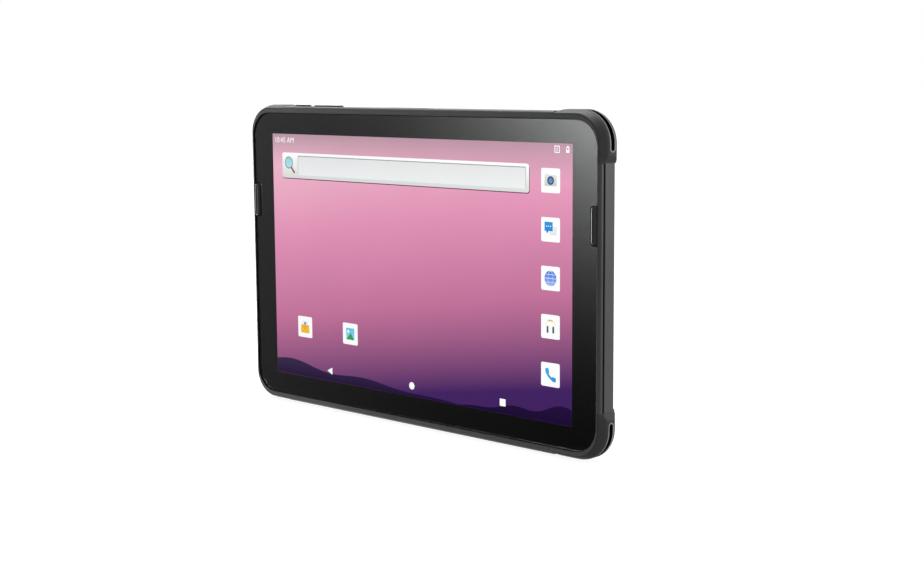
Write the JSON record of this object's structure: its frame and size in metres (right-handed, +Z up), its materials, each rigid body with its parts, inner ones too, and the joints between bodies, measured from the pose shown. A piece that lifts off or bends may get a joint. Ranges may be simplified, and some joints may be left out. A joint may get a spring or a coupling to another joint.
{
  "type": "rugged tablet data collector",
  "caption": "Landscape field data collector: sealed tablet with corner bumpers, strap slots, side scan keys, top buttons, pull-off rear battery and a port door.",
  "frame": {"origin": "under the middle of the case, on the plane that its lower bumpers stand on", "axes": "+X to the right as the screen is read, +Y from the screen into the case, +Z up the screen"},
  "size_m": [0.2548, 0.015, 0.1688],
  "materials": {
    "cover_glass": "polished, clear over black ink",
    "black_ink": "flat black screen print under glass",
    "display": "lit picture under glass",
    "white_film": "satin",
    "foam": "closed-cell foam",
    "frame_plastic": "fine moulded texture",
    "chassis": "die cast, tumbled",
    "shell_plastic": "fine moulded texture",
    "seal_rubber": "matt",
    "bumper_tpu": "matt, fine texture",
    "liner_plastic": "satin",
    "steel": "turned",
    "key_plastic": "satin",
    "dark_plastic": "satin",
    "cell_foil": "laminated foil",
    "gold": "gold flashed",
    "latch_plastic": "satin",
    "circuit_board": "solder mask",
    "tinned_steel": "tinned",
    "brass": "knurled insert",
    "red_window": "dark red filter",
    "anodised_ring": "anodised",
    "lens_glass": "coated",
    "lamp_lens": "frosted lens",
    "mesh": "woven acoustic mesh",
    "copper": "etched copper on film"
  },
  "bodies": {
    "root": {"cover_glass": "cover_glass", "ink_border": "black_ink", "display_panel": "display", "backlight": "white_film", "screen_gasket": "foam", "front_frame": "frame_plastic", "mid_frame": "chassis", "rear_shell": "shell_plastic", "shell_seal": "seal_rubber", "bumper_top_left": "bumper_tpu", "bumper_top_right": "bumper_tpu", "bumper_bottom_left": "bumper_tpu", "bumper_bottom_right": "bumper_tpu", "slot_liners": "liner_plastic", "strap_pins": "steel", "key_switches": "steel", "side_switches": "steel", "bay_connector": "dark_plastic", "bay_seal": "seal_rubber", "main_board": "circuit_board", "shield_cans": "tinned_steel", "board_screws": "steel", "case_screws": "steel", "mount_inserts": "brass", "scan_engine": "dark_plastic", "scan_window": "red_window", "camera_module": "dark_plastic", "camera_ring": "anodised_ring", "camera_window": "lens_glass", "flash_led": "lamp_lens", "speakers": "dark_plastic", "speaker_meshes": "mesh", "port_door_pin": "steel", "usb_socket": "tinned_steel", "audio_jack": "dark_plastic", "dock_block": "dark_plastic", "dock_pins": "gold", "vibration_motor": "tinned_steel", "microphone": "tinned_steel", "antennas": "copper", "card_socket": "tinned_steel"},
    "left_key": {"left_scan_key": "key_plastic"},
    "right_key": {"right_scan_key": "key_plastic"},
    "power": {"power_button": "key_plastic"},
    "volume": {"volume_rocker": "key_plastic"},
    "battery": {"battery_case": "dark_plastic", "battery_cover": "shell_plastic", "battery_cells": "cell_foil", "battery_contacts": "gold"},
    "left_latch": {"latch_left": "latch_plastic"},
    "right_latch": {"latch_right": "latch_plastic"},
    "door": {"port_door": "bumper_tpu"}
  },
  "joints": [
    {"name": "left_key_press", "type": "slide", "parent": "root", "child": "left_key", "axis": [0, 1, 0], "range_m": [0, 0.0007], "stiffness_N_per_m": 1500},
    {"name": "right_key_press", "type": "slide", "parent": "root", "child": "right_key", "axis": [0, 1, 0], "range_m": [0, 0.0007], "stiffness_N_per_m": 1500},
    {"name": "power_press", "type": "slide", "parent": "root", "child": "power", "axis": [0, 0, -1], "range_m": [0, 0.0005], "stiffness_N_per_m": 2000, "springref_m": -0.0002},
    {"name": "volume_rock", "type": "hinge", "parent": "root", "child": "volume", "pos_m": [-0.0685, 0.0001, 0.1634], "axis": [0, 1, 0], "range_deg": [-1.2, 1.2], "stiffness_Nm_per_rad": 0.6},
    {"name": "battery_pull", "type": "slide", "parent": "root", "child": "battery", "axis": [0, 1, 0], "range_m": [0, 0.04]},
    {"name": "left_latch_slide", "type": "slide", "parent": "root", "child": "left_latch", "axis": [-1, 0, 0], "range_m": [0, 0.004], "stiffness_N_per_m": 400, "springref_m": -0.002},
    {"name": "right_latch_slide", "type": "slide", "parent": "root", "child": "right_latch", "axis": [1, 0, 0], "range_m": [0, 0.004], "stiffness_N_per_m": 400, "springref_m": -0.002},
    {"name": "port_door_swing", "type": "hinge", "parent": "root", "child": "door", "pos_m": [-0.1245, 0.0032, 0.0884], "axis": [0, 0, -1], "range_deg": [0, 100]}
  ]
}
